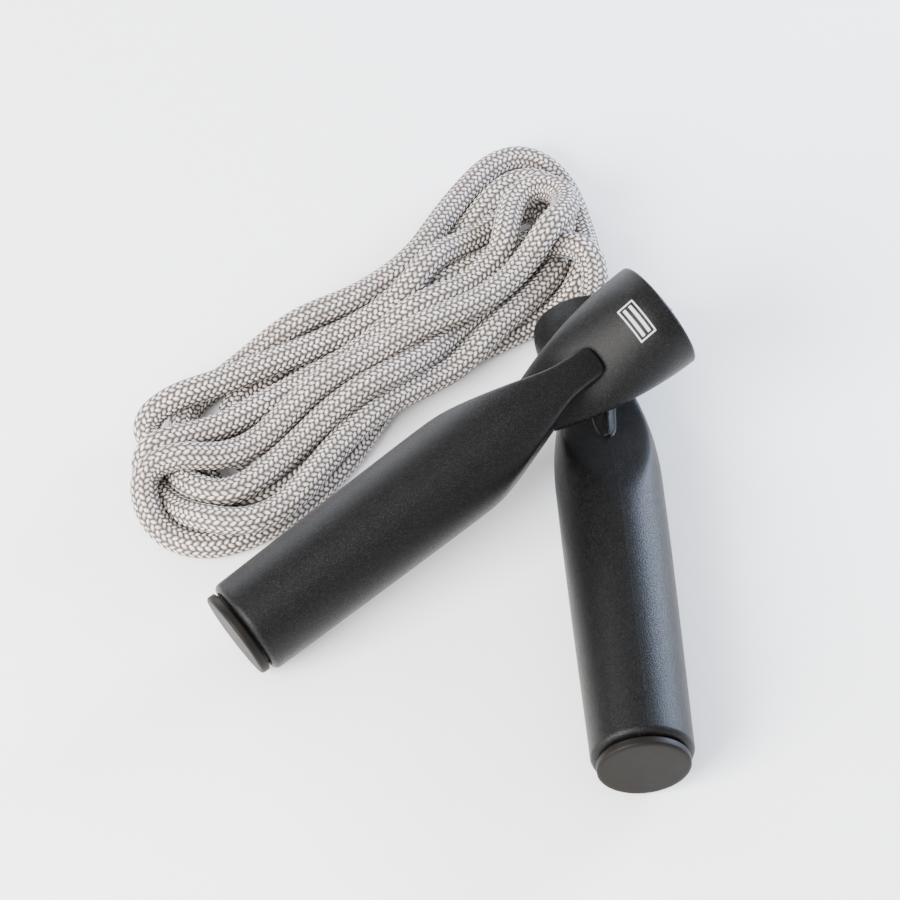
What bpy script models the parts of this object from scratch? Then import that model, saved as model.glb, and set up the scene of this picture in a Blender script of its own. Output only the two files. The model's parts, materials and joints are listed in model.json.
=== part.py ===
"""Skipping rope with two hollow moulded handles, each turning on a ball bearing.

Frame: metres, +Z up, floor at z = 0, origin on the floor under the middle of the two handles.
Each handle is built along the +Z axis of its own empty. Its stations run from the outer face
of the end cap (0) to the rim of the flared mouth, and its flats face along the empty's X.
"""
import math

import bmesh
import bpy
from mathutils import Matrix, Vector

MM = 0.001

# rope
ROPE_RADIUS = 4.5 * MM
ROPE_CLEARANCE = 0.3 * MM
HANK_HEIGHT = 20.0 * MM

# handle shell
HANDLE_LENGTH = 168.0 * MM
SHELL_START = 3.8 * MM
GRIP_RADIUS = 16.0 * MM
GRIP_SWELL = 0.95 * MM
END_ROUNDING = 2.2 * MM
SHOULDER = 90.0 * MM
RIM_RADIUS = 18.2 * MM
RIM_ROUNDING = 1.2 * MM
BLANK_RADIUS = 20.0 * MM
BORE_RADIUS = 12.9 * MM
SEAT_RADIUS = 12.3 * MM
SEAT_START = 79.0 * MM
NECK_BORE = 5.4 * MM

# grip tongues: the grip's own skin between its two flats
FLAT_START = 97.3 * MM
FLAT_HEIGHT = 15.5 * MM
FLAT_SLOPE = 0.33
TONGUE_HALF_WIDTH = 5.4 * MM
TONGUE_CURVE_START = 105.0 * MM
TONGUE_CURVE = 4.8
TONGUE_END = 143.0 * MM

# horn: the flared mouth, which runs down on to each flat as a narrow tab
HORN_START = 118.3 * MM
HORN_CURVE = 3.7
HORN_CREST = 167.0 * MM
TAB_HALF_WIDTH = 4.1 * MM
WAIST_STATION = 143.0 * MM
WAIST_HALF_WIDTH = 9.2 * MM
WAIST_SLOPE = 0.5

# bearing, 12 x 24 x 6 mm
BEARING_START = 84.0 * MM
BEARING_WIDTH = 6.0 * MM
RACE_BORE = 6.0 * MM
RACE_OUTSIDE = 12.0 * MM
INNER_LAND = 7.9 * MM
OUTER_LAND = 10.1 * MM
PITCH_RADIUS = 9.0 * MM
BALL_RADIUS = 1.8 * MM
GROOVE_RADIUS = 2.1 * MM
BALL_COUNT = 9
CAGE_SEGMENTS_PER_BALL = 6

ROPE_END_STATION = 64.0 * MM

# where each handle lies: its cap's centre, its direction and its roll about its own axis
HANDLES = {
    1: dict(cap=(-67.23 * MM, -33.90 * MM, 14.03 * MM), azimuth=35.56, elevation=14.0, roll=-67.5),
    2: dict(cap=(58.06 * MM, -83.84 * MM, 16.17 * MM), azimuth=94.70, elevation=0.68, roll=4.3),
}

# the rope between each handle's mouth and the hank, in millimetres, after its straight start
LEAD_STRAIGHT_END = {1: 156.0 * MM, 2: 158.0 * MM}
LEAD_ROUTES = {
    1: [(60.2, 58.9, 52.4), (65.0, 65.2, 49.2), (67.9, 73.6, 41.2), (67.6, 80.2, 31.0),
        (66.9, 87.5, 20.5), (63.4, 96.5, 11.0), (56.5, 104.5, 5.6), (47.0, 107.8, 4.7),
        (37.8, 108.9, 4.7), (35.6, 109.3, 4.7)],
    2: [(44.0, 83.6, 18.3), (42.6, 92.5, 18.0), (42.0, 101.5, 16.4), (42.1, 108.5, 14.6),
        (42.6, 115.4, 12.6), (42.4, 117.3, 12.5)],
}

# outer shape of the hank seen from above, in millimetres, and the faces where the leads meet it
HANK_OUTLINE = [(49, 122), (46, 132), (42, 139), (36, 156), (25, 167), (16, 171), (2, 154), (-11, 128),
                (-24, 109), (-37, 102), (-63, 85), (-82, 71), (-97, 63), (-102, 56), (-103, 47),
                (-103, 37), (-100, 26), (-96, 11), (-88, 2), (-79, -1), (-67, 2), (-51, 11), (-40, 26),
                (-30, 49), (-17, 62), (-3, 78), (7, 83), (15, 85), (21, 89)]
HANK_LEAD_FACES = [(33.4, 101.5), (36.2, 115.5), (36.6, 117.5), (48.5, 118.9)]


def clear_scene():
    for item in list(bpy.data.objects):
        bpy.data.objects.remove(item, do_unlink=True)


def make_material(name, colour, roughness, metallic=0.0):
    material = bpy.data.materials.new(name)
    material.use_nodes = True
    shader = material.node_tree.nodes["Principled BSDF"]
    shader.inputs["Base Color"].default_value = (*colour, 1.0)
    shader.inputs["Roughness"].default_value = roughness
    shader.inputs["Metallic"].default_value = metallic
    return material


def make_materials():
    return {
        "grip_plastic": make_material("grip_plastic", (0.016, 0.016, 0.018), 0.46),
        "cap_plastic": make_material("cap_plastic", (0.052, 0.048, 0.045), 0.55),
        "bearing_steel": make_material("bearing_steel", (0.62, 0.62, 0.64), 0.22, 1.0),
        "ball_steel": make_material("ball_steel", (0.74, 0.74, 0.76), 0.12, 1.0),
        "cage_nylon": make_material("cage_nylon", (0.36, 0.29, 0.18), 0.5),
        "spring_steel": make_material("spring_steel", (0.30, 0.30, 0.32), 0.35, 1.0),
        "acetal": make_material("acetal", (0.72, 0.72, 0.69), 0.4),
        "zinc_steel": make_material("zinc_steel", (0.55, 0.56, 0.58), 0.35, 1.0),
        "crimp_aluminium": make_material("crimp_aluminium", (0.66, 0.66, 0.67), 0.38, 1.0),
        "braided_rope": make_material("braided_rope", (0.55, 0.53, 0.50), 0.8),
    }


def add_object(name, mesh, material, parent=None):
    item = bpy.data.objects.new(name, mesh)
    mesh.materials.append(material)
    bpy.context.scene.collection.objects.link(item)
    item.parent = parent
    return item


def finish_mesh(bm, name, sharp_degrees=35.0):
    bmesh.ops.remove_doubles(bm, verts=bm.verts, dist=0.01 * MM)
    bmesh.ops.recalc_face_normals(bm, faces=bm.faces)
    mesh = bpy.data.meshes.new(name)
    bm.to_mesh(mesh)
    bm.free()
    mesh.shade_smooth()
    mesh.set_sharp_from_angle(angle=math.radians(sharp_degrees))
    return mesh


def spin_profile(profile, segments, closed):
    """Turn a list of (radius, station) points about Z; a closed profile makes a ring."""
    bm = bmesh.new()
    verts = [bm.verts.new((radius, 0.0, station)) for radius, station in profile]
    for first, second in zip(verts, verts[1:]):
        bm.edges.new((first, second))
    if closed:
        bm.edges.new((verts[-1], verts[0]))
    bmesh.ops.spin(bm, geom=list(bm.verts) + list(bm.edges), axis=(0, 0, 1), cent=(0, 0, 0),
                   angle=math.tau, steps=segments, use_merge=True, use_duplicate=False)
    return bm


def lathe(name, profile, segments, closed=True):
    return finish_mesh(spin_profile(profile, segments, closed), name)


# ---- handle shell ---------------------------------------------------------------------------

def grip_skin_radius(station):
    """Outside radius of the grip, which swells to the shoulder; its tongues then curve inwards."""
    swell = min(max((station - SHELL_START) / (SHOULDER - SHELL_START), 0.0), 1.0)
    radius = GRIP_RADIUS + GRIP_SWELL * swell
    if station > TONGUE_CURVE_START:
        radius -= TONGUE_CURVE * (station - TONGUE_CURVE_START) ** 2
    return radius


def flat_distance(station):
    """Distance of the grip's two flats from the axis."""
    sloping = FLAT_HEIGHT - (station - FLAT_START) * FLAT_SLOPE
    return max(sloping, TONGUE_HALF_WIDTH)


def horn_half_height(station):
    return RIM_RADIUS - HORN_CURVE * (HORN_CREST - station) ** 2


def horn_half_width(station):
    widening = WAIST_HALF_WIDTH + (station - WAIST_STATION) * WAIST_SLOPE
    return min(max(widening, TAB_HALF_WIDTH), horn_half_height(station))


def shell_radius(angle, station):
    """Outer radius of the shell; the angle is measured from the direction the flats face."""
    across, along = abs(math.cos(angle)), abs(math.sin(angle))
    grip = 0.0
    if station <= TONGUE_END:
        grip = grip_skin_radius(station)
        if across > 0.001:
            grip = min(grip, flat_distance(station) / across)
    horn = 0.0
    if station >= HORN_START:
        horn = 1.0 / math.hypot(across / horn_half_height(station), along / horn_half_width(station))
    return max(grip, horn)


def shell_stations():
    """Stations of the outer skin: close together where its shape changes."""
    stations = [SHOULDER]
    while stations[-1] < HORN_START - 3.2 * MM:
        stations.append(stations[-1] + 3.1 * MM)
    stations += [HORN_START - 0.5 * MM, HORN_START]
    steps = 8
    stations += [HORN_START + (TONGUE_END - HORN_START) * step / steps for step in range(1, steps + 1)]
    stations.append(TONGUE_END + 0.7 * MM)
    flare_end = HANDLE_LENGTH - RIM_ROUNDING
    steps = 6
    stations += [stations[-1] + (flare_end - stations[-1]) * step / steps for step in range(1, steps + 1)]
    return stations


def make_handle_body(number, parent, material):
    profile = []
    corner = GRIP_RADIUS - END_ROUNDING
    for step in range(4):
        turn = math.radians(30.0 * step)
        profile.append((corner + END_ROUNDING * math.sin(turn),
                        SHELL_START + END_ROUNDING * (1.0 - math.cos(turn))))
    profile += [(BLANK_RADIUS, station) for station in shell_stations()]
    profile.append((RIM_RADIUS - 0.4 * RIM_ROUNDING, HANDLE_LENGTH - 0.4 * RIM_ROUNDING))
    profile.append((RIM_RADIUS - RIM_ROUNDING, HANDLE_LENGTH))
    profile += [(16.3 * MM, HANDLE_LENGTH - 0.6 * MM), (15.6 * MM, 163.0 * MM), (13.6 * MM, 157.0 * MM),
                (10.0 * MM, 151.0 * MM), (NECK_BORE, 146.0 * MM), (NECK_BORE, 98.0 * MM),
                (10.2 * MM, 93.0 * MM), (10.2 * MM, 90.4 * MM), (SEAT_RADIUS, 90.4 * MM),
                (SEAT_RADIUS, SEAT_START), (BORE_RADIUS, SEAT_START - 0.6 * MM),
                (BORE_RADIUS, SHELL_START)]
    bm = spin_profile(profile, 40, closed=True)
    for vert in bm.verts:
        if math.hypot(vert.co.x, vert.co.y) > BLANK_RADIUS - 0.1 * MM:
            angle = math.atan2(vert.co.y, vert.co.x)
            radius = shell_radius(angle, vert.co.z)
            vert.co.x = radius * math.cos(angle)
            vert.co.y = radius * math.sin(angle)
    mesh = finish_mesh(bm, f"handle_{number}_body", 28.0)
    return add_object(f"handle_{number}_body", mesh, material, parent)


def make_end_cap(number, parent, material):
    """Push-in cap: a disc with an eased edge, on a hollow spigot with a snap rib."""
    profile = [(0.0, 0.0), (13.9 * MM, 0.0), (14.35 * MM, 0.2 * MM), (14.5 * MM, 0.7 * MM),
               (14.5 * MM, 2.6 * MM), (14.1 * MM, 3.0 * MM), (12.3 * MM, 3.0 * MM),
               (12.3 * MM, 10.0 * MM), (12.6 * MM, 11.0 * MM), (12.3 * MM, 12.0 * MM),
               (12.0 * MM, 14.0 * MM), (10.6 * MM, 14.0 * MM), (10.6 * MM, 2.2 * MM), (0.0, 2.2 * MM)]
    mesh = lathe(f"handle_{number}_end_cap", profile, 36, closed=False)
    return add_object(f"handle_{number}_end_cap", mesh, material, parent)


# ---- swivel inside each handle ----------------------------------------------------------------

def groove_points(side, land):
    """Points of a ball groove, from the cap's side to the mouth's; side is +1 for the outer race."""
    middle = BEARING_START + BEARING_WIDTH / 2
    depth = abs(PITCH_RADIUS - land)
    half_angle = math.acos(depth / GROOVE_RADIUS)
    points = []
    for step in range(5):
        turn = half_angle * (step / 2 - 1)
        points.append((PITCH_RADIUS + side * GROOVE_RADIUS * math.cos(turn),
                       middle + GROOVE_RADIUS * math.sin(turn)))
    return points


def make_outer_race(number, parent, material):
    end = BEARING_START + BEARING_WIDTH
    profile = [(OUTER_LAND, BEARING_START), *groove_points(1, OUTER_LAND), (OUTER_LAND, end),
               (RACE_OUTSIDE, end), (RACE_OUTSIDE, BEARING_START)]
    mesh = lathe(f"bearing_{number}_outer_race", profile, 28)
    return add_object(f"bearing_{number}_outer_race", mesh, material, parent)


def make_inner_race(number, parent, material):
    end = BEARING_START + BEARING_WIDTH
    profile = [(INNER_LAND, BEARING_START), *groove_points(-1, INNER_LAND), (INNER_LAND, end),
               (RACE_BORE, end), (RACE_BORE, BEARING_START)]
    mesh = lathe(f"bearing_{number}_inner_race", profile, 28)
    return add_object(f"bearing_{number}_inner_race", mesh, material, parent)


def make_balls(number, parent, material):
    middle = BEARING_START + BEARING_WIDTH / 2
    for index in range(BALL_COUNT):
        turn = math.tau * index / BALL_COUNT
        centre = Vector((PITCH_RADIUS * math.cos(turn), PITCH_RADIUS * math.sin(turn), middle))
        name = f"bearing_{number}_ball_{index + 1}"
        bm = bmesh.new()
        bmesh.ops.create_icosphere(bm, subdivisions=2, radius=BALL_RADIUS)
        ball = add_object(name, finish_mesh(bm, name, 180.0), material, parent)
        ball.location = centre


def make_cage(number, parent, material):
    """Crown cage: a thin ring with one finger standing between each pair of balls."""
    ring_start, ring_end = BEARING_START + 0.2 * MM, BEARING_START + 0.85 * MM
    finger_length = 3.6 * MM
    profile = [(8.35 * MM, ring_start), (9.65 * MM, ring_start), (9.65 * MM, ring_end),
               (8.35 * MM, ring_end)]
    segments = BALL_COUNT * CAGE_SEGMENTS_PER_BALL
    bm = spin_profile(profile, segments, closed=True)
    bmesh.ops.rotate(bm, verts=bm.verts, cent=(0, 0, 0),
                     matrix=Matrix.Rotation(math.pi / segments, 3, "Z"))
    bmesh.ops.recalc_face_normals(bm, faces=bm.faces)
    between_balls = []
    for face in bm.faces:
        centre = face.calc_center_median()
        if centre.z < ring_end - 0.01 * MM:
            continue
        position = math.atan2(centre.y, centre.x) / math.tau * BALL_COUNT % 1.0
        if abs(position - 0.5) < 0.5 / CAGE_SEGMENTS_PER_BALL:
            between_balls.append(face)
    fingers = bmesh.ops.extrude_discrete_faces(bm, faces=between_balls)["faces"]
    tops = {vert for face in fingers for vert in face.verts}
    bmesh.ops.translate(bm, verts=list(tops), vec=(0, 0, finger_length))
    mesh = finish_mesh(bm, f"bearing_{number}_cage")
    return add_object(f"bearing_{number}_cage", mesh, material, parent)


def make_retaining_ring(number, parent, material):
    profile = [(9.6 * MM, 79.8 * MM), (11.7 * MM, 79.8 * MM), (12.0 * MM, 80.3 * MM),
               (12.0 * MM, 83.6 * MM), (9.6 * MM, 83.6 * MM)]
    mesh = lathe(f"retaining_ring_{number}", profile, 28)
    return add_object(f"retaining_ring_{number}", mesh, material, parent)


def make_sleeve(number, parent, material):
    """Flanged sleeve that carries the rope through the inner race."""
    bore = ROPE_RADIUS + ROPE_CLEARANCE
    profile = [(bore, 81.9 * MM), (8.3 * MM, 81.9 * MM), (8.3 * MM, 83.7 * MM), (5.7 * MM, 83.7 * MM),
               (5.7 * MM, 92.2 * MM), (bore, 92.8 * MM)]
    mesh = lathe(f"swivel_sleeve_{number}", profile, 28)
    return add_object(f"swivel_sleeve_{number}", mesh, material, parent)


def make_washer(number, parent, material):
    bore = ROPE_RADIUS + ROPE_CLEARANCE
    profile = [(bore, 80.1 * MM), (8.5 * MM, 80.1 * MM), (8.5 * MM, 81.6 * MM), (bore, 81.6 * MM)]
    mesh = lathe(f"thrust_washer_{number}", profile, 28)
    return add_object(f"thrust_washer_{number}", mesh, material, parent)


def make_ferrule(number, parent, material):
    """Crimped ferrule on the rope's end: two crimp waists and a collar against the washer."""
    bore = ROPE_RADIUS + ROPE_CLEARANCE
    profile = [(bore, 66.0 * MM), (6.1 * MM, 66.0 * MM), (6.4 * MM, 66.5 * MM), (6.4 * MM, 68.0 * MM),
               (5.8 * MM, 69.0 * MM), (5.8 * MM, 70.4 * MM), (6.4 * MM, 71.4 * MM),
               (6.4 * MM, 72.6 * MM), (5.8 * MM, 73.6 * MM), (5.8 * MM, 75.0 * MM),
               (6.4 * MM, 76.0 * MM), (7.4 * MM, 78.0 * MM), (7.4 * MM, 79.8 * MM), (bore, 79.8 * MM)]
    mesh = lathe(f"rope_ferrule_{number}", profile, 24)
    return add_object(f"rope_ferrule_{number}", mesh, material, parent)


# ---- rope -------------------------------------------------------------------------------------

def smooth_route(points, pieces):
    """Points of a Catmull-Rom curve through the given ones."""
    points = [Vector(point) for point in points]
    route = []
    for index in range(len(points) - 1):
        start, end = points[index], points[index + 1]
        before = points[index - 1] if index else start * 2 - end
        after = points[index + 2] if index + 2 < len(points) else end * 2 - start
        for piece in range(pieces):
            t = piece / pieces
            route.append(0.5 * (2 * start + (end - before) * t
                                + (2 * before - 5 * start + 4 * end - after) * t ** 2
                                + (3 * start - before - 3 * end + after) * t ** 3))
    route.append(points[-1])
    return route


def make_lead(number, axis_frame, material):
    """Rope from its crimped end, through the neck and the mouth, to the hank."""
    start, end = ROPE_END_STATION, LEAD_STRAIGHT_END[number]
    straight = [axis_frame @ Vector((0, 0, start + (end - start) * step / 2)) for step in range(3)]
    route = straight + [Vector(point) * MM for point in LEAD_ROUTES[number]]
    spine = straight[:1] + smooth_route(route[1:], 2)
    curve = bpy.data.curves.new(f"rope_lead_{number}", "CURVE")
    curve.dimensions = "3D"
    curve.bevel_depth = ROPE_RADIUS
    curve.bevel_resolution = 3
    curve.use_fill_caps = True
    spline = curve.splines.new("POLY")
    spline.points.add(len(spine) - 1)
    for slot, place in zip(spline.points, spine):
        slot.co = (*place, 1.0)
    return add_object(f"rope_lead_{number}", curve, material)


def make_hank(material):
    """Outer shape of the folded rope: its outline drawn up, with an eased top edge."""
    bm = bmesh.new()
    outline = smooth_route([(x * MM, y * MM, 0.0) for x, y in HANK_OUTLINE], 2)
    outline += [Vector((x * MM, y * MM, 0.0)) for x, y in HANK_LEAD_FACES]
    base = bm.faces.new([bm.verts.new(place) for place in outline])
    raised = bmesh.ops.extrude_face_region(bm, geom=[base])["geom"]
    top_verts = [item for item in raised if isinstance(item, bmesh.types.BMVert)]
    bmesh.ops.translate(bm, verts=top_verts, vec=(0, 0, HANK_HEIGHT))
    top_edges = [edge for edge in bm.edges if all(vert in top_verts for vert in edge.verts)]
    bmesh.ops.bevel(bm, geom=top_edges, offset=4.0 * MM, offset_type="OFFSET", segments=2,
                    profile=0.5, affect="EDGES", material=-1)
    mesh = finish_mesh(bm, "rope_hank")
    return add_object("rope_hank", mesh, material)


def handle_frame(place):
    """Matrix whose Z runs along the handle's axis from the cap and whose X is where its flats face."""
    azimuth, elevation = math.radians(place["azimuth"]), math.radians(place["elevation"])
    roll = math.radians(place["roll"])
    axis = Vector((math.cos(azimuth) * math.cos(elevation), math.sin(azimuth) * math.cos(elevation),
                   math.sin(elevation)))
    above = Vector((-math.cos(azimuth) * math.sin(elevation), -math.sin(azimuth) * math.sin(elevation),
                    math.cos(elevation)))
    side = axis.cross(above)
    flat = above * math.cos(roll) + side * math.sin(roll)
    rotation = Matrix((flat, axis.cross(flat), axis)).transposed()
    return Matrix.Translation(Vector(place["cap"])) @ rotation.to_4x4()


def make_handle(number, materials):
    axis = bpy.data.objects.new(f"handle_{number}_axis", None)
    bpy.context.scene.collection.objects.link(axis)
    axis.matrix_world = handle_frame(HANDLES[number])
    make_handle_body(number, axis, materials["grip_plastic"])
    make_end_cap(number, axis, materials["cap_plastic"])
    make_outer_race(number, axis, materials["bearing_steel"])
    make_inner_race(number, axis, materials["bearing_steel"])
    make_balls(number, axis, materials["ball_steel"])
    make_cage(number, axis, materials["cage_nylon"])
    make_retaining_ring(number, axis, materials["spring_steel"])
    make_sleeve(number, axis, materials["acetal"])
    make_washer(number, axis, materials["zinc_steel"])
    make_ferrule(number, axis, materials["crimp_aluminium"])
    make_lead(number, handle_frame(HANDLES[number]), materials["braided_rope"])


def main():
    clear_scene()
    materials = make_materials()
    for number in HANDLES:
        make_handle(number, materials)
    make_hank(materials["braided_rope"])


main()
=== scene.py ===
import json
import math

import bmesh
import bpy
import numpy as np
from mathutils import Matrix, Vector


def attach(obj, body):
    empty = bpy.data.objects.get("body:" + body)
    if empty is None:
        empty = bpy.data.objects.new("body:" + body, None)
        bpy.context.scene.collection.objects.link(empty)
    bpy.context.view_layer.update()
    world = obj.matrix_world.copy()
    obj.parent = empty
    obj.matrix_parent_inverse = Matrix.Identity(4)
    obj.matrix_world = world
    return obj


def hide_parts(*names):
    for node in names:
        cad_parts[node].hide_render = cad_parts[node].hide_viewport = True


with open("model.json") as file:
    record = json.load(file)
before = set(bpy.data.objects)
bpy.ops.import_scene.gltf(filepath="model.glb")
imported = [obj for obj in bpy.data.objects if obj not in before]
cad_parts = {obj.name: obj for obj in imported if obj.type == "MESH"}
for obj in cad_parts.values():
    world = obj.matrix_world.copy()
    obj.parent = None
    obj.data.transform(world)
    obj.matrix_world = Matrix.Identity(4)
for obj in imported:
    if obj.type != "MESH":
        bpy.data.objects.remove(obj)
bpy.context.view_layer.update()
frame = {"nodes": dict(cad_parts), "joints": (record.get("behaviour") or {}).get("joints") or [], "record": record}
mm = 0.001
print("frame loaded:", len(frame["nodes"]), "nodes")


# a node's output, on which ordinary arithmetic adds Math nodes
class Wire:
    def __init__(self, graph, socket):
        self.graph = graph
        self.socket = socket

    def math(self, operation, *values):
        return self.graph.node("ShaderNodeMath", {"operation": operation}, list(values))

    def __add__(self, other):
        return self.math("ADD", self, other)

    def __radd__(self, other):
        return self.math("ADD", other, self)

    def __sub__(self, other):
        return self.math("SUBTRACT", self, other)

    def __rsub__(self, other):
        return self.math("SUBTRACT", other, self)

    def __mul__(self, other):
        return self.math("MULTIPLY", self, other)

    def whole(self):
        return self.math("FLOOR", self)

    def part(self):
        return self.math("FRACT", self)

    def size(self):
        return self.math("ABSOLUTE", self)

    def atMost(self, other):
        return self.math("MINIMUM", self, other)

    def atLeast(self, other):
        return self.math("MAXIMUM", self, other)

    def smoothBetween(self, low, high):
        return self.graph.node("ShaderNodeMapRange", {"interpolation_type": "SMOOTHSTEP"},
                               {"Value": self, "From Min": low, "From Max": high})


# the node tree of one material
class Graph:
    def __init__(self, name, **surface):
        self.material = bpy.data.materials.new(name)
        self.material.use_nodes = True
        self.tree = self.material.node_tree
        self.shader = self.tree.nodes["Principled BSDF"]
        for socket, value in surface.items():
            self.shader.inputs[socket.replace("_", " ")].default_value = value

    def node(self, kind, settings=None, values=None, output=0):
        item = self.tree.nodes.new(kind)
        for key, value in (settings or {}).items():
            if key == "stops":
                ramp = item.color_ramp.elements
                while len(ramp) < len(value):
                    ramp.new(0.5)
                for stop, (place, tone) in zip(ramp, value):
                    stop.position = place
                    stop.color = (*tone, 1.0)
            else:
                setattr(item, key, value)
        pairs = values.items() if isinstance(values, dict) else enumerate(values or [])
        for key, value in pairs:
            self.feed(item.inputs[key], value)
        return Wire(self, item.outputs[output])

    def feed(self, socket, value):
        if isinstance(value, Wire):
            self.tree.links.new(value.socket, socket)
        else:
            socket.default_value = value

    def surface(self, **wires):
        for socket, value in wires.items():
            self.feed(self.shader.inputs[socket.replace("_", " ")], value)

    def noise(self, place, scale, detail=2.0, roughness=0.5):
        return self.node("ShaderNodeTexNoise", None,
                         {"Vector": place, "Scale": scale, "Detail": detail, "Roughness": roughness})

    def objectPlace(self):
        return self.node("ShaderNodeTexCoord", None, None, "Object")

    def mix(self, amount, first, second):
        return self.node("ShaderNodeMix", {"data_type": "RGBA"},
                         {0: amount, 6: first, 7: second}, 2)

    def bump(self, height, distance, strength=1.0):
        return self.node("ShaderNodeBump", None,
                         {"Height": height, "Distance": distance, "Strength": strength})


def colour(red, green, blue):
    return (red, green, blue, 1.0)


def newPiece(name, mesh, material):
    piece = bpy.data.objects.new(name, mesh)
    bpy.context.scene.collection.objects.link(piece)
    mesh.materials.append(material)
    return piece


stageLook = {
    "cameraPlace": (-0.65 * mm, -843.9 * mm, 1208.0 * mm),
    "cameraHeightAngle": 53.56,
    "lens": 186.94,
    "floorColour": (0.95, 0.95, 0.95),
    "worldStrength": 1.6,
    "lights": {
        "keySoftbox": {"place": (-0.86, -0.82, 0.78), "aim": (0, 0.03, 0), "size": 0.9,
                       "power": 92.0, "tint": (1.0, 0.985, 0.96)},
        "backSoftbox": {"place": (-0.56, 0.88, 0.4), "aim": (0, 0, 0.03), "size": 0.38,
                        "power": 9.0, "tint": (0.86, 0.9, 1.0)},
        "rightSoftbox": {"place": (0.82, 0.64, 0.29), "aim": (0.05, 0, 0.03), "size": 0.42,
                         "power": 36.0, "tint": (0.62, 0.75, 1.0)},
    },
}


def makeCamera(look):
    camera = bpy.data.objects.new("studioCamera", bpy.data.cameras.new("studioCamera"))
    bpy.context.scene.collection.objects.link(camera)
    camera.location = look["cameraPlace"]
    camera.rotation_euler = (math.radians(90.0 - look["cameraHeightAngle"]), 0.0, 0.0)
    camera.data.lens = look["lens"]
    camera.data.sensor_width = 36.0
    camera.data.clip_start = 0.01
    bpy.context.scene.camera = camera


def makeFloor(look):
    bm = bmesh.new()
    bmesh.ops.create_grid(bm, x_segments=1, y_segments=1, size=3.0)
    mesh = bpy.data.meshes.new("studioFloor")
    bm.to_mesh(mesh)
    bm.free()
    graph = Graph("paperFloor", Base_Color=colour(*look["floorColour"]), Roughness=0.9)
    graph.shader.inputs["Specular IOR Level"].default_value = 0.1
    floor = newPiece("studioFloor", mesh, graph.material)
    floor.location = (0, 0, -0.0002)


def makeLight(name, light):
    data = bpy.data.lights.new(name, "AREA")
    data.shape = "SQUARE"
    data.size = light["size"]
    data.energy = light["power"]
    data.color = light["tint"]
    lamp = bpy.data.objects.new(name, data)
    bpy.context.scene.collection.objects.link(lamp)
    lamp.location = light["place"]
    facing = Vector(light["aim"]) - lamp.location
    lamp.rotation_euler = facing.to_track_quat("-Z", "Y").to_euler()


def makeStudio(look):
    world = bpy.data.worlds.new("studioWorld")
    world.use_nodes = True
    sky = world.node_tree.nodes["Background"]
    sky.inputs["Color"].default_value = colour(1.0, 1.0, 1.0)
    sky.inputs["Strength"].default_value = look["worldStrength"]
    bpy.context.scene.world = world
    for name, light in look["lights"].items():
        makeLight(name, light)


makeCamera(stageLook)
makeFloor(stageLook)
makeStudio(stageLook)
print("camera, floor and light made")

handleLook = {
    "bearingStation": 87.0 * mm,     # along the handle, from the cap's outer face
    "roll": {1: -67.5, 2: 4.3},      # of the flats, from straight up
    "columns": 256,
    "shellStart": 3.8 * mm,
    "gripRadius": 16.0 * mm,
    "gripSwell": 0.95 * mm,
    "gripCurveStart": 105.0 * mm,
    "gripCurve": 4.8,
    "endRounding": 2.2 * mm,
    "shoulder": 90.0 * mm,
    "flatStart": 97.3 * mm,
    "flatHeight": 15.5 * mm,
    "flatSlope": 0.33,
    "edgeBlend": 0.8 * mm,
    "tongueHalfWidth": 5.4 * mm,
    "tongueEnd": 143.0 * mm,
    "tongueTipDepth": 2.4 * mm,
    "tongueTipRounding": 1.6 * mm,
    "hornStart": 118.3 * mm,
    "hornCrest": 167.0 * mm,
    "hornCurve": 3.7,
    "hornWaist": 143.0 * mm,
    "hornWaistHalfWidth": 9.2 * mm,
    "hornWidthSlope": 0.5,
    "rimRadius": 18.2 * mm,
    "rimRounding": 1.2 * mm,
    "tabHalfWidth": 4.1 * mm,
    "length": 168.0 * mm,
    "seamRise": 0.05 * mm,
    "seamHalfWidth": 0.35 * mm,
    "seamEnd": 117.0 * mm,
    "blackPlastic": (0.0017, 0.0017, 0.0018),
    "grainSize": 0.34 * mm,
    "capGrey": (0.0055, 0.0044, 0.0035),
    "markPlace": {1: (1.518, 157.5 * mm), 2: None},   # direction, station
    "markSize": (6.2 * mm, 2.9 * mm),
}


# Z along the handle's axis from the cap, X where its flats face
def handleFrame(number):
    joint = next(item for item in frame["joints"] if item["name"] == f"handle_{number}_spin")
    axis = Vector(joint["axis"]).normalized()
    start = Vector(joint["pos_m"]) - axis * handleLook["bearingStation"]
    side = axis.cross(Vector((0, 0, 1))).normalized()
    above = side.cross(axis)
    roll = math.radians(handleLook["roll"][number])
    flat = above * math.cos(roll) + side * math.sin(roll)
    turned = Matrix((flat, axis.cross(flat), axis)).transposed()
    return Matrix.Translation(start) @ turned.to_4x4()


handleFrames = {number: handleFrame(number) for number in (1, 2)}


def softMost(first, second, blend):
    return blend * np.logaddexp(first / blend, second / blend)


def softLeast(first, second, blend):
    return -softMost(-np.asarray(first), -np.asarray(second), blend)


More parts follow.
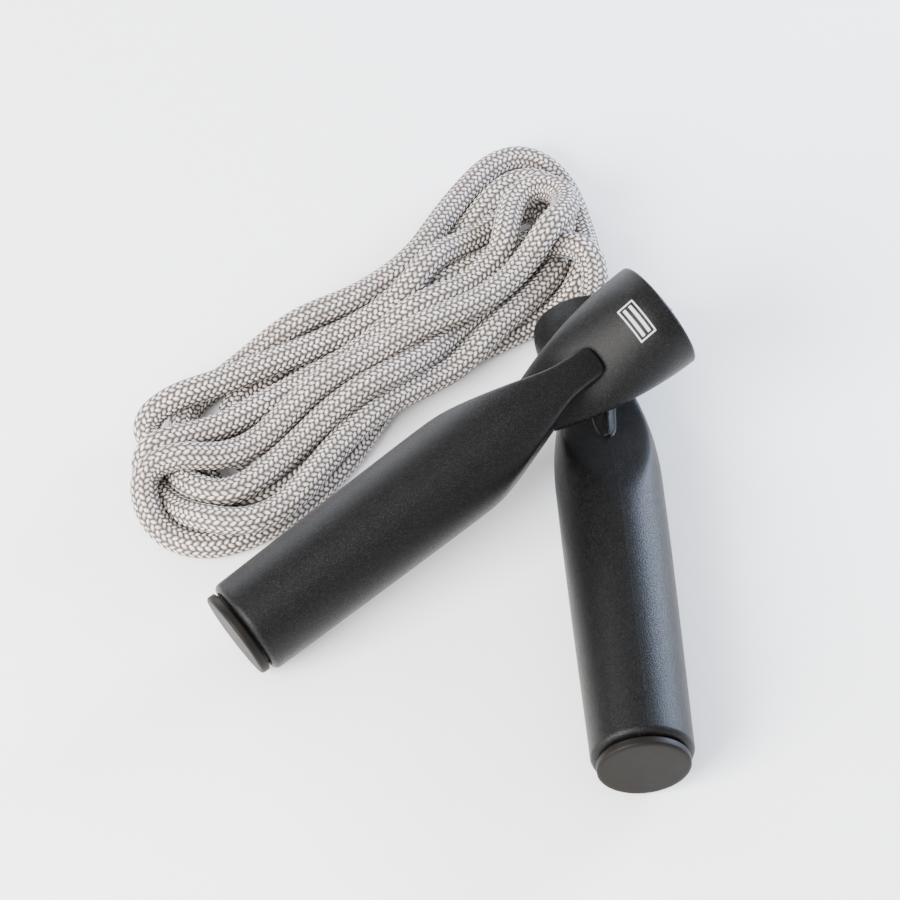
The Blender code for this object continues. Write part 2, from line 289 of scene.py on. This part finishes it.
# the shell's outer radius: a flattened grip whose two tongues lap over a flaring horn
def skinRadius(turn, station, look):
    start = look["shellStart"]
    along = np.clip((station - start) / (look["shoulder"] - start), 0, 1)
    swell = (3 * along ** 2 - 2 * along ** 3) ** 0.5 * along ** 0.25
    girth = look["gripRadius"] + look["gripSwell"] * swell
    girth = girth - look["gripCurve"] * np.clip(station - look["gripCurveStart"], 0, None) ** 2
    corner = np.clip(1 - (station - start) / look["endRounding"], 0, 1)
    girth = girth - look["endRounding"] * (1 - np.sqrt(1 - corner ** 2))
    flat = look["flatHeight"] - (station - look["flatStart"]) * look["flatSlope"]
    flat = softMost(flat, look["tongueHalfWidth"], look["edgeBlend"])
    across, aside = np.abs(np.cos(turn)), np.abs(np.sin(turn))
    grip = softLeast(girth, flat / np.maximum(across, 0.02), look["edgeBlend"])
    tipCorner = np.clip(grip * across / look["tongueHalfWidth"], 0, 1) ** 5
    tongueEnd = look["tongueEnd"] - look["tongueTipDepth"] * tipCorner
    drop = np.clip((station - tongueEnd) / look["tongueTipRounding"] + 1, 0, 1)
    grip = grip * np.sqrt(np.clip(1 - drop ** 2, 0, 1)) * (station < tongueEnd)
    height = look["rimRadius"] - look["hornCurve"] * (look["hornCrest"] - station) ** 2
    width = look["hornWaistHalfWidth"] + (station - look["hornWaist"]) * look["hornWidthSlope"]
    width = softMost(width, look["tabHalfWidth"], look["edgeBlend"])
    width = softLeast(width, height, 0.5 * mm)
    tip = np.clip((look["hornStart"] - station) / look["tabHalfWidth"] + 1, 0, 1)
    width = width * np.clip(1 - tip ** 4, 0, 1) ** 0.25
    height = np.maximum(height, 1 * mm)
    width = np.maximum(width, 0.05 * mm)
    horn = 1 / np.hypot(across / height, aside / width)
    rim = np.clip((station - look["length"]) / look["rimRounding"] + 1, 0, 1)
    horn = horn - look["rimRounding"] * (1 - np.sqrt(1 - rim ** 2))
    horn = np.where(station < look["hornStart"], 0.0, horn)
    radius = softMost(grip, horn, 0.12 * mm)
    return np.minimum(radius, np.maximum(grip, horn) + 0.08 * mm)


def spinPiece(name, profile, columns):
    bm = bmesh.new()
    verts = [bm.verts.new((radius, 0, station)) for radius, station in profile]
    ring = profile[0][0] > 1e-7
    pairs = list(zip(verts, verts[1:]))
    if ring:
        pairs.append((verts[-1], verts[0]))
    edges = [bm.edges.new(pair) for pair in pairs]
    bmesh.ops.spin(bm, geom=verts + edges, cent=(0, 0, 0), axis=(0, 0, 1), angle=math.tau,
                   steps=columns, use_merge=True)
    if not ring:
        bmesh.ops.remove_doubles(bm, verts=bm.verts, dist=1e-6)
    bmesh.ops.recalc_face_normals(bm, faces=bm.faces)
    mesh = bpy.data.meshes.new(name)
    bm.to_mesh(mesh)
    bm.free()
    return mesh


def smoothBelow(mesh, angle):
    mesh.shade_smooth()
    mesh.set_sharp_from_angle(angle=math.radians(angle))


# stores each vertex's place along and about the handle, then moves the mesh to where the handle lies
def placeMesh(mesh, number):
    count = len(mesh.vertices)
    flat = np.zeros(count * 3)
    mesh.vertices.foreach_get("co", flat)
    layer = mesh.attributes.new("handlePlace", "FLOAT_VECTOR", "POINT")
    layer.data.foreach_set("vector", flat)
    mesh.transform(handleFrames[number])


# rings along the skin, closer together where it changes quickly
def skinStations(look):
    start, end = look["shellStart"] / mm, look["length"] / mm
    steps = [(start, 6.0, 0.275), (6.0, 88, 3.9), (88, 97, 0.5), (97, 117, 0.8), (117, 124, 0.25),
             (124, 138, 0.7), (138, 143.4, 0.18), (143.4, 166.6, 0.76), (166.6, end, 0.14)]
    stations = []
    for low, high, step in steps:
        stations += list(np.linspace(low, high, round((high - low) / step), endpoint=False) * mm)
    return stations + [look["length"]]


def plasticMaterial(look, number):
    graph = Graph(f"grainedPlastic{number}")
    graph.shader.inputs["Specular IOR Level"].default_value = 0.12
    place = graph.objectPlace()
    grain = graph.noise(place, 1 / look["grainSize"], 2.0, 0.6)
    broad = graph.noise(place, 90.0, 3.0, 0.6)
    speck = grain.smoothBetween(0.48, 0.7)
    black = look["blackPlastic"]
    tint = graph.mix(speck * 0.6, colour(*black), colour(0.022, 0.0215, 0.021))
    rough = 0.26 + broad * 0.1 + grain * 0.08
    spot = look["markPlace"][number]
    if spot:
        at = graph.node("ShaderNodeAttribute", {"attribute_name": "handlePlace"}, None, "Vector")
        split = graph.node("ShaderNodeSeparateXYZ", None, [at])
        x, y, along = (Wire(graph, split.socket.node.outputs[axis]) for axis in "XYZ")
        turn, station = spot
        a, b = math.cos(turn), math.sin(turn)
        aside = x * -b + y * a
        facing = (x * a + y * b).smoothBetween(0.0, 1.0 * mm)
        rise = along - station
        wide, high = look["markSize"]
        p, q = aside.size(), rise.size()
        reach = (p - wide).atLeast(q - high)
        outline = 1.0 - (reach + 0.25 * mm).size().smoothBetween(0.18 * mm, 0.28 * mm)
        bars = 1.0 - ((q - 1.05 * mm).size() - 0.45 * mm).atLeast(p - 5.0 * mm).smoothBetween(0.0, 0.1 * mm)
        ink = outline.atLeast(bars) * facing * (0.78 + grain * 0.3).atMost(1.0)
        tint = graph.mix(ink, tint, colour(0.42, 0.43, 0.44))
    graph.surface(Base_Color=tint, Roughness=rough,
                  Normal=graph.bump(grain, 0.16 * mm, 0.9))
    return graph.material


def capMaterial(look):
    graph = Graph("capPlastic")
    graph.shader.inputs["Specular IOR Level"].default_value = 0.1
    place = graph.objectPlace()
    grain = graph.noise(place, 1600.0, 2.0, 0.5)
    smear = graph.noise(place, 130.0, 4.0, 0.65)
    base = look["capGrey"]
    pale = [value * 1.6 for value in base]
    tint = graph.mix(smear.smoothBetween(0.4, 0.75) * 0.5, colour(*base), colour(*pale))
    graph.surface(Base_Color=tint, Roughness=0.4 + smear * 0.2, Normal=graph.bump(grain, 0.05 * mm, 0.5))
    return graph.material


def makeHandleBody(number, look):
    blank = 20 * mm
    profile = [(blank, station) for station in skinStations(look)]
    profile += [(radius * mm, station * mm) for radius, station in [
        (16.3, 167.4), (15.6, 163), (14.7, 160), (13.6, 157), (12.0, 154), (10, 151), (7.6, 148.2),
        (5.4, 146), (5.4, 98), (10.2, 93), (10.2, 90.4), (12.3, 90.4), (12.3, 79), (12.9, 78.4),
        (12.9, 3.8)]]
    mesh = spinPiece(f"gripShell{number}", profile, look["columns"])
    count = len(mesh.vertices)
    flat = np.zeros(count * 3)
    mesh.vertices.foreach_get("co", flat)
    places = flat.reshape(-1, 3)
    skin = np.hypot(places[:, 0], places[:, 1]) > blank - 0.1 * mm
    turn = np.arctan2(places[skin, 1], places[skin, 0])
    radius = skinRadius(turn, places[skin, 2], look)
    seam = np.abs(np.sin(turn)) * radius
    seam = np.clip(1 - seam / look["seamHalfWidth"], 0, 1) * (places[skin, 2] < look["seamEnd"])
    radius = radius + look["seamRise"] * seam
    places[skin, 0] = radius * np.cos(turn)
    places[skin, 1] = radius * np.sin(turn)
    mesh.vertices.foreach_set("co", places.ravel())
    smoothBelow(mesh, 50)
    placeMesh(mesh, number)
    shell = newPiece(f"gripShell{number}", mesh, plasticMaterial(look, number))
    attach(shell, f"handle_{number}")
    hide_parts(f"handle_{number}_body")


def makeEndCap(number, material):
    profile = [(0, 0), (7, 0), (12.6, 0), (13.3, 0.03), (13.9, 0.12), (14.25, 0.35),
               (14.45, 0.62), (14.5, 0.9), (14.5, 2.5), (14.42, 2.8), (14.2, 3), (12.3, 3), (12.3, 10), (12.6, 11), (12.3, 12),
               (12, 14), (10.6, 14), (10.6, 2.2), (0, 2.2)]
    mesh = spinPiece(f"endCap{number}", [(radius * mm, station * mm) for radius, station in profile], 128)
    smoothBelow(mesh, 35)
    placeMesh(mesh, number)
    cap = newPiece(f"endCap{number}", mesh, material)
    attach(cap, f"handle_{number}")
    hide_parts(f"handle_{number}_end_cap")


innerLooks = {
    "bearing_steel": {"tone": (0.62, 0.62, 0.64), "metal": 1.0, "rough": 0.22, "scale": 900.0},
    "ball_steel": {"tone": (0.74, 0.74, 0.76), "metal": 1.0, "rough": 0.08, "scale": 500.0},
    "cage_nylon": {"tone": (0.36, 0.29, 0.18), "metal": 0.0, "rough": 0.5, "scale": 1200.0},
    "spring_steel": {"tone": (0.3, 0.3, 0.32), "metal": 1.0, "rough": 0.35, "scale": 1100.0},
    "acetal": {"tone": (0.72, 0.72, 0.69), "metal": 0.0, "rough": 0.38, "scale": 1500.0},
    "zinc_steel": {"tone": (0.55, 0.56, 0.58), "metal": 1.0, "rough": 0.34, "scale": 700.0},
    "crimp_aluminium": {"tone": (0.66, 0.66, 0.67), "metal": 1.0, "rough": 0.3, "scale": 1300.0},
}


def innerMaterial(slot, look):
    graph = Graph(f"inner_{slot}", Metallic=look["metal"])
    place = graph.objectPlace()
    marks = graph.noise(place, look["scale"], 3.0, 0.6)
    patches = graph.noise(place, look["scale"] / 9, 2.0, 0.5)
    tone = look["tone"]
    dark = [value * 0.78 for value in tone]
    tint = graph.mix(patches.smoothBetween(0.35, 0.7), colour(*tone), colour(*dark))
    graph.surface(Base_Color=tint, Roughness=look["rough"] + marks * 0.12,
                  Normal=graph.bump(marks, 0.02 * mm, 0.4))
    return graph.material


def dressInnerParts():
    slots = {row["node"]: row["material_slot"] for row in frame["record"]["subparts"]}
    materials = {slot: innerMaterial(slot, look) for slot, look in innerLooks.items()}
    for name, node in frame["nodes"].items():
        slot = slots.get(name)
        if slot in materials:
            node.data.materials.clear()
            node.data.materials.append(materials[slot])


capPlastic = capMaterial(handleLook)
for handleNumber in (1, 2):
    makeHandleBody(handleNumber, handleLook)
    makeEndCap(handleNumber, capPlastic)
dressInnerParts()
print("handles made")

ropeLook = {
    "diameter": 9.0 * mm,
    "realLength": 2.45,
    "crimpedEnd": 64.0 * mm,         # station of the rope's end in each handle
    "straightTo": {1: 156.0 * mm, 2: 158.0 * mm},
    "sampleStep": 3.5 * mm,
    "settleSteps": 300,
    "pull": (0.05, 0.05, 0.02),      # towards the route, for each step
    "sag": 0.05 * mm,
    "smoothing": 0.05,
    "stiffness": 0.28,
    "handleClearRadius": 18.6 * mm,
    "handleClearLength": 173.0 * mm,
    "yarnColumns": 16,
    "yarnPitch": 2.2 * mm,
    "yarnRise": 0.22 * mm,
    "meshStep": 1.1 * mm,
    "sidesRound": 32,
    # ramp colours for painted light on the braid: the pale yarn with a painted highlight on each tuft's crown,
    # painted shade on the tufts' flanks and darker painted shade in the gaps between tufts
    "litPaleYarn": (0.70, 0.67, 0.635),
    "shadedYarnFlank": (0.185, 0.154, 0.138),
    "gapPaintedShade": (0.034, 0.025, 0.021),
}

# millimetres, from the front handle's mouth through the folds of the hank to the rear handle's mouth;
# a helper script worked out the hank's points, and only the ten at the mouths were chosen by hand
ropeRoute = [
    # out of the front handle's mouth and down
    (60.2, 58.9, 52.4), (64.8, 65.4, 48.8), (67.2, 72.8, 40.2), (66.4, 79.8, 30.5), (65.4, 87.5, 20.5),
    (62, 96.5, 11), (56.5, 103.5, 5.8),
    # lowest layer, to the left folds
    (49, 111, 5), (40, 116, 5), (31, 115, 5), (19, 106, 5), (4, 93, 5), (-7, 89, 5), (-19, 80, 5),
    (-30, 68, 5), (-40, 50, 5), (-49, 37, 5), (-58, 26, 5), (-68, 21, 5), (-77, 24, 5),
    # round the left end, back through the waist and round the right end
    (-86, 32, 5), (-91, 43, 5), (-90, 55, 5), (-83, 66, 5), (-67, 74, 5), (-57, 81, 5), (-48, 89, 6),
    (-37, 96, 8), (-24, 104, 10), (-14, 113, 11), (-7, 123, 11), (-1, 135, 12), (5, 148, 12),
    (12, 159, 12), (19, 166, 11), (25, 167, 9), (31, 164, 7), (37, 157, 5), (40, 146, 5), (42, 135, 5),
    (44, 124, 6),
    # under the crossing handle, then the near edge to the widest left fold
    (44, 111, 10), (42, 102, 12), (37, 98, 11), (30, 98, 8), (22, 96, 5), (12, 91, 5), (3, 86, 5),
    (-9, 81, 5), (-17, 73, 5), (-25, 63, 5), (-33, 49, 5), (-38, 40, 5), (-43, 29, 5), (-50, 20, 5),
    (-59, 13, 5), (-68, 9, 5), (-79, 7, 5), (-87, 12, 5), (-93, 20, 5), (-94, 27, 6),
    # up through the waist to the standing fold over the right end
    (-98, 32, 9), (-100, 34, 12), (-95, 33, 13), (-86, 31, 13), (-77, 32, 13), (-69, 35, 13),
    (-60, 42, 13), (-52, 50, 13), (-44, 56, 13), (-34, 62, 16), (-25, 67, 20), (-15, 76, 21),
    (-5, 83, 20), (3, 87, 18), (9, 92, 19), (16, 98, 20), (22, 106, 20), (29, 112, 21), (35, 118, 22),
    (39, 126, 22), (40, 135, 22), (36, 142, 22), (29, 145, 22), (22, 142, 22), (18, 133, 22),
    (18, 122, 20), (18, 114, 16),
    # out of the standing fold and back on top to the left
    (19, 110, 10), (14, 104, 9), (6, 96, 13), (-4, 93, 19), (-17, 84, 20), (-26, 77, 19), (-36, 72, 15),
    (-46, 66, 13), (-55, 60, 13), (-65, 53, 13), (-74, 46, 13), (-83, 42, 13), (-92, 42, 13),
    # inside the widest left fold and back along the near side
    (-97, 43, 10), (-97, 40, 6), (-94, 33, 5), (-91, 25, 6), (-86, 15, 9), (-78, 9, 11), (-68, 8, 12),
    (-60, 10, 13), (-53, 15, 13), (-46, 24, 13), (-40, 35, 13), (-33, 46, 13), (-24, 58, 13),
    (-14, 67, 12), (-1, 79, 11), (12, 92, 10), (22, 102, 10), (30, 112, 10),
    # round the right end and back under the others
    (34, 122, 10), (37, 130, 11), (37, 139, 12), (35, 147, 13), (29, 154, 13), (22, 154, 13),
    (15, 148, 13), (9, 138, 14), (1, 128, 12), (-7, 120, 9), (-19, 111, 5), (-33, 99, 5), (-48, 87, 5),
    (-60, 77, 5), (-68, 68, 5),
    # short left fold, then the middle of the waist
    (-72, 60, 5), (-74, 51, 5), (-72, 40, 5), (-64, 37, 5), (-55, 44, 5), (-42, 53, 7), (-30, 61, 11),
    (-17, 74, 12), (-4, 88, 11), (8, 103, 7), (17, 114, 5), (24, 116, 8),
    # inner fold at the right
    (29, 121, 11), (29, 125, 13), (24, 126, 13), (17, 120, 13), (9, 113, 13), (-1, 103, 13),
    (-10, 97, 11), (-20, 100, 5), (-33, 88, 5), (-48, 72, 5), (-58, 63, 5),
    # short left fold, then the lowest layer
    (-64, 56, 5), (-63, 49, 5), (-57, 50, 5), (-46, 59, 5), (-33, 74, 5), (-20, 88, 5), (-7, 102, 5),
    (4, 111, 5), (16, 122, 5), (26, 128, 5), (32, 132, 6),
    # topmost run of the far side
    (36, 138, 9), (33, 143, 12), (27, 144, 13), (18, 137, 13), (9, 125, 14), (-1, 113, 16),
    (-9, 102, 18), (-17, 94, 18), (-27, 89, 17), (-36, 84, 15), (-46, 79, 13), (-55, 75, 13),
    (-68, 68, 13), (-81, 62, 13), (-90, 58, 13), (-100, 55, 12),
    # farthest left fold, then back over the middle
    (-103, 53, 10), (-100, 49, 6), (-93, 46, 5), (-88, 39, 5), (-85, 30, 6), (-82, 21, 10),
    (-76, 18, 13), (-68, 20, 13), (-61, 26, 13), (-55, 34, 13), (-48, 43, 13), (-42, 50, 13),
    (-33, 56, 16), (-24, 62, 20), (-15, 70, 20), (-4, 81, 17), (6, 92, 12), (14, 99, 11), (21, 106, 13),
    # last bend, towards the rear handle's mouth
    (28, 113, 14), (34, 117, 16), (40, 118, 19), (45, 114, 21), (48, 108, 22), (47, 102, 22),
    # into the rear handle's mouth
    (47.5, 103, 21.5), (45, 93, 20), (44, 83.6, 18.3),
]


def evenLine(line, step):
    along = np.r_[0, np.cumsum(np.linalg.norm(np.diff(line, axis=0), axis=1))]
    places = np.linspace(0, along[-1], int(round(along[-1] / step)) + 1)
    return np.stack([np.interp(places, along, line[:, axis]) for axis in range(3)], 1)


# evenly spaced points of a smooth curve through the given ones
def smoothLine(points, step):
    points = np.array(points, float)
    before = np.vstack([2 * points[0] - points[1], points[:-2]])
    after = np.vstack([points[2:], 2 * points[-1] - points[-2]])
    start, end = points[:-1], points[1:]
    dense = []
    for t in np.arange(12) / 12:
        dense.append(0.5 * (2 * start + (end - before) * t
                            + (2 * before - 5 * start + 4 * end - after) * t ** 2
                            + (3 * start - before - 3 * end + after) * t ** 3))
    dense = np.stack(dense, 1).reshape(-1, 3)
    return evenLine(np.vstack([dense, points[-1]]), step)


def handlePoint(number, station):
    return np.array(handleFrames[number] @ Vector((0, 0, station)))


# pushes crossing runs apart until they rest on each other and on the floor
def settleRope(line, look):
    diameter, step, turns = look["diameter"], look["sampleStep"], look["settleSteps"]
    start = line.copy()
    order = np.arange(len(line))
    apart = np.abs(order[:, None] - order[None, :]) > round(1.7 * diameter / step)
    first = np.linalg.norm(line - handlePoint(1, look["straightTo"][1]), axis=1).argmin()
    last = np.linalg.norm(line - handlePoint(2, look["straightTo"][2]), axis=1).argmin()
    loose = np.minimum(np.clip((order - first) / 6.0, 0, 1), np.clip((last - order) / 6.0, 0, 1))[:, None]
    free = loose[:, 0] > 0
    for turn in range(turns):
        early = turn < 0.75 * turns
        hold = 1.0 if early else 0.1
        line += loose * (start - line) * np.array(look["pull"]) * hold
        line[:, 2] -= loose[:, 0] * look["sag"] * hold
        for _ in range(3):
            bend = np.zeros_like(line)
            bend[1:-1] = (line[:-2] + line[2:]) / 2 - line[1:-1]
            stiff = np.zeros_like(line)
            stiff[2:-2] = (bend[1:-3] + bend[3:-1]) / 2 - bend[2:-2]
            line += loose * (look["smoothing"] * bend - look["stiffness"] * stiff) * (1.0 if early else 0.5)
        offset = line[:, None, :] - line[None, :, :]
        distance = np.sqrt((offset ** 2).sum(-1)) + 1e-9
        push = np.where(apart & (distance < diameter), (diameter - distance) / distance * 0.3, 0.0)
        move = (offset * push[..., None]).sum(1)
        size = np.linalg.norm(move, axis=1, keepdims=True)
        line += loose * move * np.minimum(1.0, 1.2 * mm / np.maximum(size, 1e-9))
        line[free, 2] = np.maximum(line[free, 2], diameter / 2 + look["yarnRise"])
        for number, near in ((1, order > first + 14), (2, order < last - 8)):
            base = handlePoint(number, 0)
            axis = handlePoint(number, 1) - base
            station = (line - base) @ axis
            out = line - base - station[:, None] * axis
            radius = np.linalg.norm(out, axis=1) + 1e-9
            limit = look["handleClearRadius"] + diameter / 2
            beside = (station > -5 * mm) & (station < look["handleClearLength"])
            inside = free & near & beside & (radius < limit)
            share = np.clip((look["handleClearLength"] - station) / (5 * mm), 0, 1)
            line[inside] += (out / radius[:, None] * ((limit - radius) * share)[:, None] * 0.4)[inside]
    return line


# a tube whose rings turn without twisting, with a small rise at each crossing of the yarns
def braidTube(path, look):
    columns, pitch, sides = look["yarnColumns"], look["yarnPitch"], look["sidesRound"]
    rings = evenLine(path, look["meshStep"])
    count = len(rings)
    heading = np.gradient(rings, axis=0)
    heading /= np.linalg.norm(heading, axis=1)[:, None]
    across = np.zeros_like(rings)
    side = np.cross(heading[0], (0.0, 0.0, 1.0))
    for index in range(count):
        side = side - heading[index] * (side @ heading[index])
        side /= np.linalg.norm(side)
        across[index] = side
    other = np.cross(heading, across)
    turn = np.arange(sides) / sides * math.tau
    column = np.arange(sides) * columns / sides
    along = np.arange(count) * look["meshStep"] / pitch
    shift = 0.5 * (np.floor(column) % 2)
    wave = np.cos(math.tau * (column - np.floor(column) - 0.5) * 0.5)[None, :]
    wave = wave * np.cos(math.tau * (along[:, None] + shift[None, :] - 0.5))
    radius = look["diameter"] / 2 - look["yarnRise"] * (0.5 - 0.5 * wave)
    verts = (rings[:, None, :] + radius[..., None] * (np.cos(turn)[None, :, None] * across[:, None, :]
             + np.sin(turn)[None, :, None] * other[:, None, :])).reshape(-1, 3)
    ring = np.arange(count - 1)[:, None] * sides
    here = np.arange(sides)[None, :]
    there = (here + 1) % sides
    faces = np.stack([ring + here, ring + there, ring + there + sides, ring + here + sides], -1)
    faces = faces.reshape(-1, 4)
    mesh = bpy.data.meshes.new("braidedRope")
    ends = [list(range(sides))[::-1], [(count - 1) * sides + index for index in range(sides)]]
    mesh.from_pydata(verts.tolist(), [], faces.tolist() + ends)
    layer = mesh.uv_layers.new(name="braid")
    uOf = np.broadcast_to(np.stack([here, here + 1, here + 1, here], -1) * columns / sides,
                          (count - 1, sides, 4))
    vOf = np.arange(count - 1)[:, None, None] + np.array((0, 0, 1, 1))[None, None, :]
    vOf = np.broadcast_to(vOf * look["meshStep"] / pitch, (count - 1, sides, 4))
    uv = np.stack([uOf, vOf], -1).reshape(-1, 2)
    uv = np.vstack([uv, np.zeros((2 * sides, 2))])
    layer.data.foreach_set("uv", uv.ravel())
    mesh.shade_smooth()
    return mesh


def ropeMaterial(look):
    graph = Graph("braidedYarn", Roughness=0.72)
    graph.shader.inputs["Specular IOR Level"].default_value = 0.35
    place = graph.node("ShaderNodeUVMap", {"uv_map": "braid"})
    split = graph.node("ShaderNodeSeparateXYZ", None, [place])
    u = Wire(graph, split.socket.node.outputs["X"])
    v = Wire(graph, split.socket.node.outputs["Y"])
    column = u.whole()
    odd = (column * 0.5).part() * 2.0
    shifted = v + odd * 0.5
    row = shifted.whole()
    x = (u.part() - 0.5) * (math.pi * look["diameter"] / look["yarnColumns"] / look["yarnPitch"])
    y = shifted.part() - 0.5
    lean = odd * 2.0 - 1.0
    length = (y + x * lean) * 0.72
    width = (x - y * lean) * 0.72
    far = graph.node("ShaderNodeMath", {"operation": "SQRT"},
                     [(length * 1.55) * (length * 1.55) + (width * 2.8) * (width * 2.8)])
    crown = 1.0 - far
    yarn = graph.node("ShaderNodeCombineXYZ", None, [column, row, 0.0])
    tone = graph.node("ShaderNodeTexWhiteNoise", {"noise_dimensions": "3D"}, {"Vector": yarn})
    fibrePlace = graph.node("ShaderNodeCombineXYZ", None, [width * 26.0, length * 3.0, tone * 9.0])
    fibres = graph.noise(fibrePlace, 1.0, 2.0, 0.6)
    # painted light: each tuft is lit at its crown, falls into painted shade towards the gaps between tufts, and is
    # darker at the end that tucks under its neighbour
    lit = crown.smoothBetween(-0.25, 0.75) * (0.86 + length * 0.75)
    grime = graph.noise(graph.objectPlace(), 60.0, 2.0)
    bright = lit * (0.72 + tone * 0.3 + fibres * 0.36) * (0.84 + grime * 0.32)
    # the ramp turns this painted light and the random yarn tone into colour, from painted gap shade through the
    # shaded flank to a painted highlight on the pale crown
    tint = graph.node("ShaderNodeValToRGB",
                      {"stops": [(0.0, look["gapPaintedShade"]), (0.42, look["shadedYarnFlank"]), (1.0, look["litPaleYarn"])]},
                      [bright])
    height = crown.smoothBetween(-0.15, 0.8) + fibres * 0.12
    graph.surface(Base_Color=tint, Normal=graph.bump(height, 0.4 * mm, 1.0))
    return graph.material


def makeRope(look):
    ends = look["straightTo"]
    route = [handlePoint(1, look["crimpedEnd"]), handlePoint(1, 110 * mm), handlePoint(1, ends[1])]
    route += [np.array(point) * mm for point in ropeRoute]
    route += [handlePoint(2, ends[2]), handlePoint(2, 111 * mm), handlePoint(2, look["crimpedEnd"])]
    line = smoothLine(route, look["sampleStep"])
    line = settleRope(line, look)
    path = smoothLine(evenLine(line, 5 * mm), look["meshStep"])
    rope = newPiece("braidedRope", braidTube(path, look), ropeMaterial(look))
    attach(rope, "rope")
    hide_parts("rope_hank", "rope_lead_1", "rope_lead_2")
    length = np.linalg.norm(np.diff(path, axis=0), axis=1).sum()
    print(f"rope made: {length:.3f} m")


makeRope(ropeLook)
